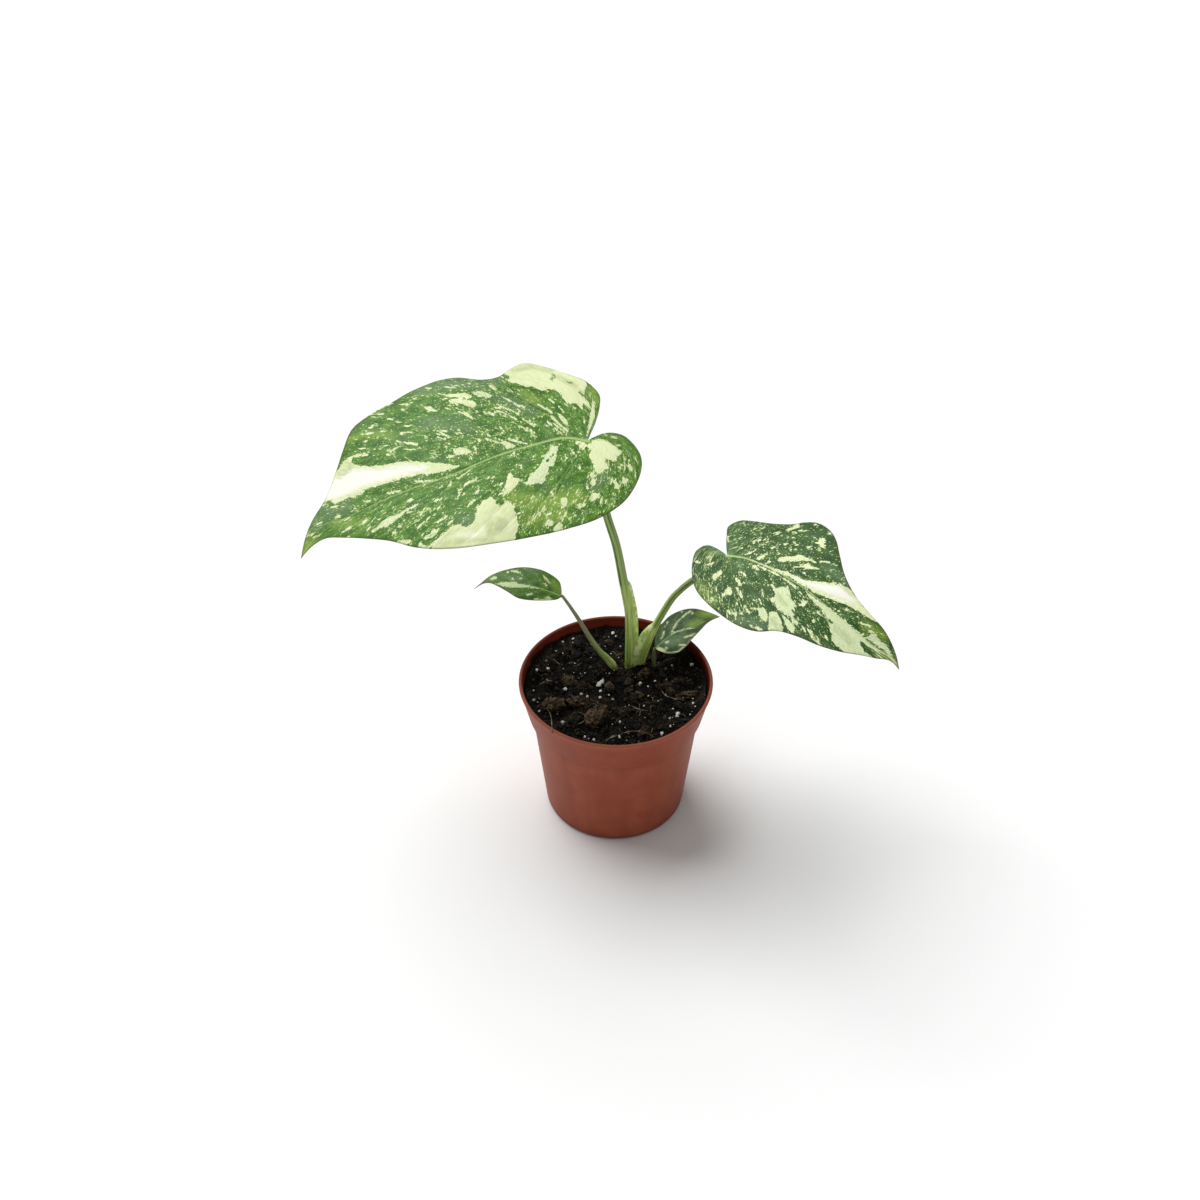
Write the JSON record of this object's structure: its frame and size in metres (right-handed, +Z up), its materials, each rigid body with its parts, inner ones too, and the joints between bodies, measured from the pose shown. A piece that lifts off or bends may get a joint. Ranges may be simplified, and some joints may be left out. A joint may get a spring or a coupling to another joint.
{
  "type": "potted thai constellation monstera plant",
  "caption": "Young variegated monstera with broad heart-shaped leaves on slender stalks, growing in potting mix in a small round nursery pot.",
  "frame": {"origin": "centre of the pot's flat underside, on its axis", "axes": "+Z up along the pot's axis; +X to the right and +Y away from the viewer as pictured"},
  "size_m": [0.3198, 0.1423, 0.2573],
  "materials": {
    "pot_plastic": "terracotta-brown moulded plastic, soft sheen",
    "potting_mix": "dark damp peat and bark mix with white perlite",
    "stalk_green": "smooth waxy yellow-green stalk",
    "leaf_green": "satin green blade marbled with cream",
    "leaf_dark_green": "satin dark green blade marbled with cream"
  },
  "bodies": {
    "root": {"pot": "pot_plastic", "soil": "potting_mix", "stem_crown": "stalk_green", "stalk_small_left": "stalk_green", "stalk_small_right": "stalk_green", "leaf_large_left": "leaf_green", "leaf_large_right": "leaf_dark_green", "leaf_small_left": "leaf_green", "leaf_small_right": "leaf_dark_green"}
  },
  "joints": []
}
